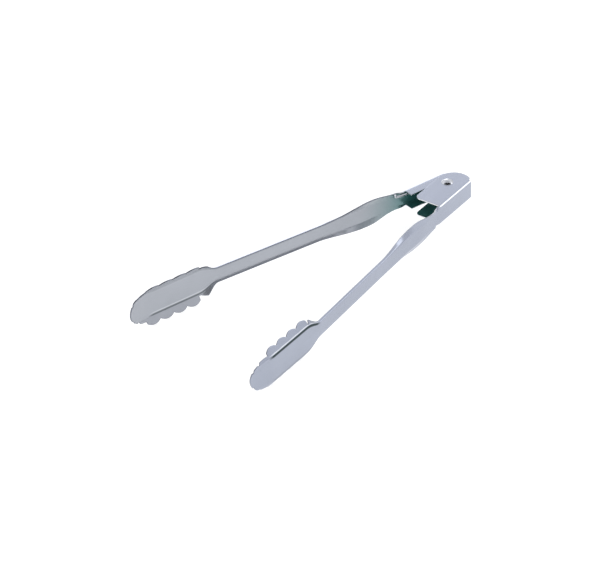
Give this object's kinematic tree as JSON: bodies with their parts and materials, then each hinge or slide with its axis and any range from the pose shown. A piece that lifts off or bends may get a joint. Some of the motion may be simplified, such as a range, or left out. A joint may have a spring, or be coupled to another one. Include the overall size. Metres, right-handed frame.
{
  "type": "kitchen tongs",
  "caption": "Spring loaded stainless kitchen tongs: two pressed arms on one rivet with scalloped heads, pushed open by a coil spring.",
  "frame": {"origin": "middle of the underside of the whole tongs, lying on their side and open", "axes": "+Z along the rivet, +Y from the tips to the hinge end, +X towards the outer arm"},
  "size_m": [0.127, 0.2992, 0.034],
  "materials": {
    "arm_steel": "satin stainless sheet",
    "rivet_steel": "polished stainless",
    "spacer_steel": "drawn tube",
    "spring_wire": "bright drawn wire"
  },
  "bodies": {
    "outer": {"outer_arm": "arm_steel", "pivot_rivet": "rivet_steel", "spacer_sleeve": "spacer_steel", "torsion_spring": "spring_wire"},
    "inner": {"inner_arm": "arm_steel"}
  },
  "joints": [
    {"name": "squeeze", "type": "hinge", "parent": "outer", "child": "inner", "pos_m": [0, 0.13241, 0.017], "axis": [0, 0, 1], "range_deg": [0, 24.3], "stiffness_Nm_per_rad": 0.74, "springref_deg": -20.05, "deforming": ["torsion_spring"]}
  ]
}
